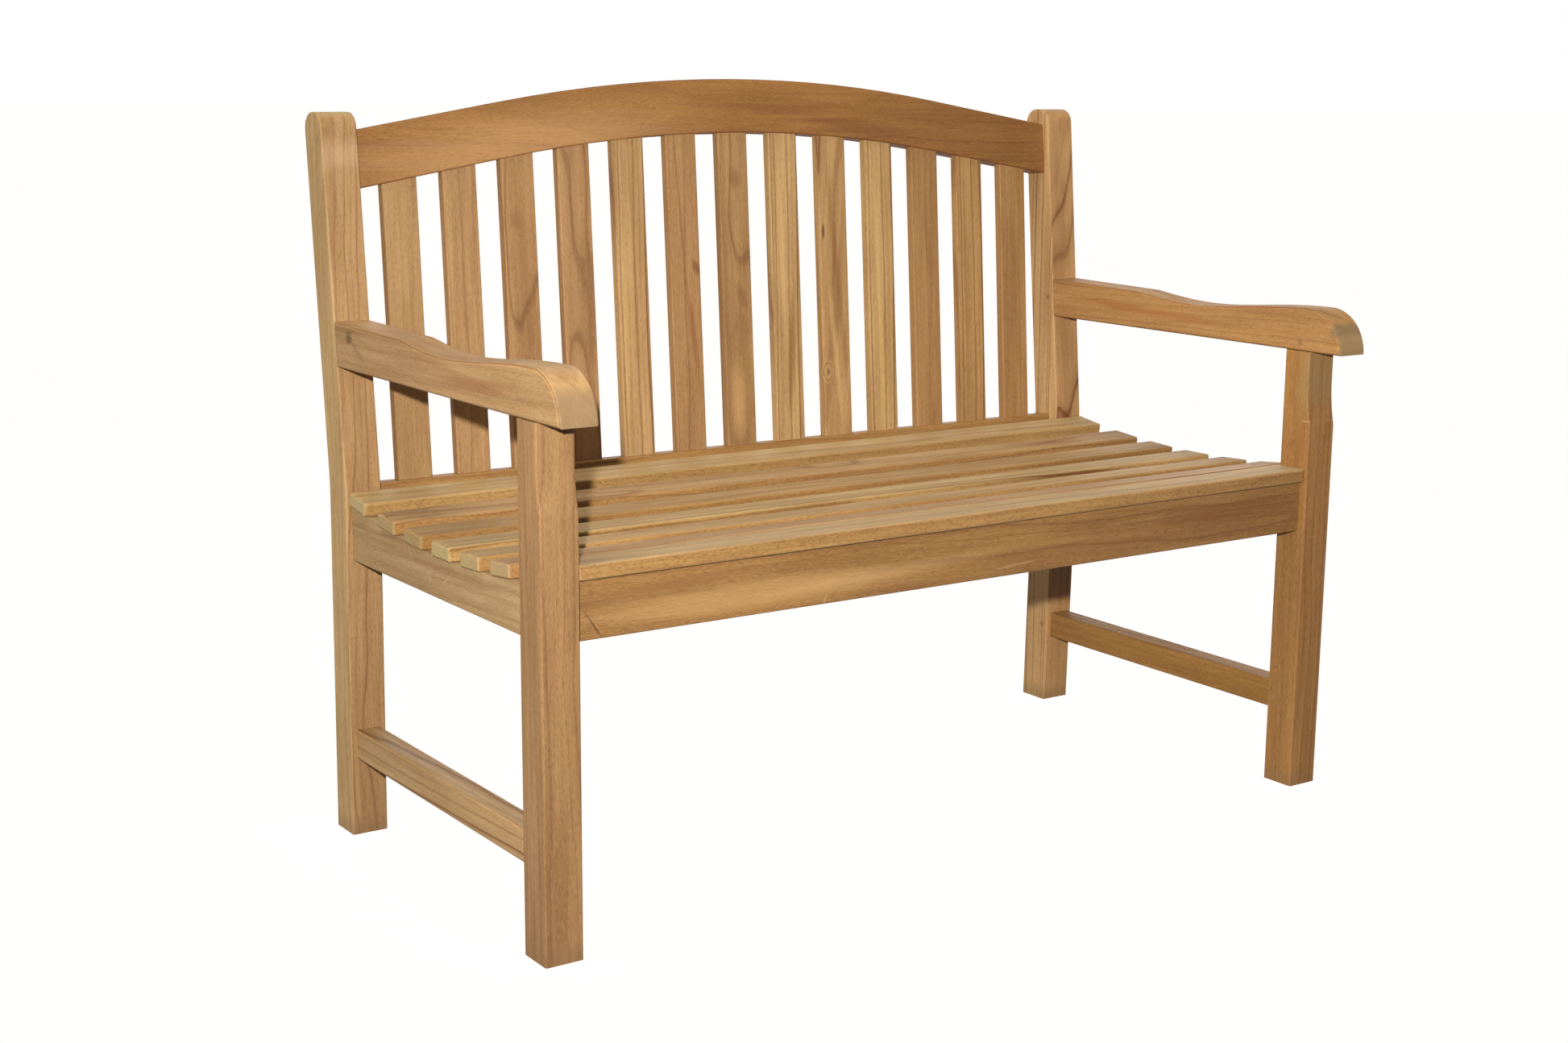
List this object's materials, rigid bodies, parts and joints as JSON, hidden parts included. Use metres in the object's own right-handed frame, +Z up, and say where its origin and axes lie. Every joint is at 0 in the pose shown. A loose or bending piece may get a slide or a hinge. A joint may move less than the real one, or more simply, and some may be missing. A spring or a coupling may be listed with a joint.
{
  "type": "garden bench",
  "caption": "Solid teak garden bench for two, with an arched crest rail, upright back slats, a dished slatted seat and scrolled arms, joined by pinned mortise and tenon.",
  "frame": {"origin": "on the floor, under the middle of the bench's box", "axes": "+X along the length, to the right when the bench is seen from the front; +Y from the front to the back; +Z up"},
  "size_m": [1.22, 0.6527, 0.9617],
  "materials": {
    "teak_legs": "sanded, unoiled",
    "teak_rails": "sanded, unoiled",
    "teak_arms": "sanded, unoiled",
    "teak_crest": "sanded, unoiled",
    "teak_back_slats": "sanded, unoiled",
    "teak_seat_slats": "sanded, unoiled",
    "teak_pins": "cut end grain"
  },
  "bodies": {
    "root": {"arm_left": "teak_arms", "arm_right": "teak_arms", "back_leg_left": "teak_legs", "back_leg_right": "teak_legs", "back_slat_01": "teak_back_slats", "back_slat_02": "teak_back_slats", "back_slat_03": "teak_back_slats", "back_slat_04": "teak_back_slats", "back_slat_05": "teak_back_slats", "back_slat_06": "teak_back_slats", "back_slat_07": "teak_back_slats", "back_slat_08": "teak_back_slats", "back_slat_09": "teak_back_slats", "back_slat_10": "teak_back_slats", "back_slat_11": "teak_back_slats", "back_slat_12": "teak_back_slats", "back_slat_13": "teak_back_slats", "centre_bearer": "teak_rails", "crest_rail": "teak_crest", "front_apron": "teak_rails", "front_leg_left": "teak_legs", "front_leg_right": "teak_legs", "lower_back_rail": "teak_rails", "pins_back_leg_left": "teak_pins", "pins_back_leg_right": "teak_pins", "pins_front_leg_left": "teak_pins", "pins_front_leg_right": "teak_pins", "seat_dowels_centre": "teak_pins", "seat_dowels_front": "teak_pins", "seat_dowels_left": "teak_pins", "seat_dowels_right": "teak_pins", "seat_slat_1": "teak_seat_slats", "seat_slat_2": "teak_seat_slats", "seat_slat_3": "teak_seat_slats", "seat_slat_4": "teak_seat_slats", "seat_slat_5": "teak_seat_slats", "seat_slat_6": "teak_seat_slats", "seat_slat_7": "teak_seat_slats", "side_rail_left": "teak_rails", "side_rail_right": "teak_rails", "stretcher_left": "teak_rails", "stretcher_right": "teak_rails"}
  },
  "joints": []
}
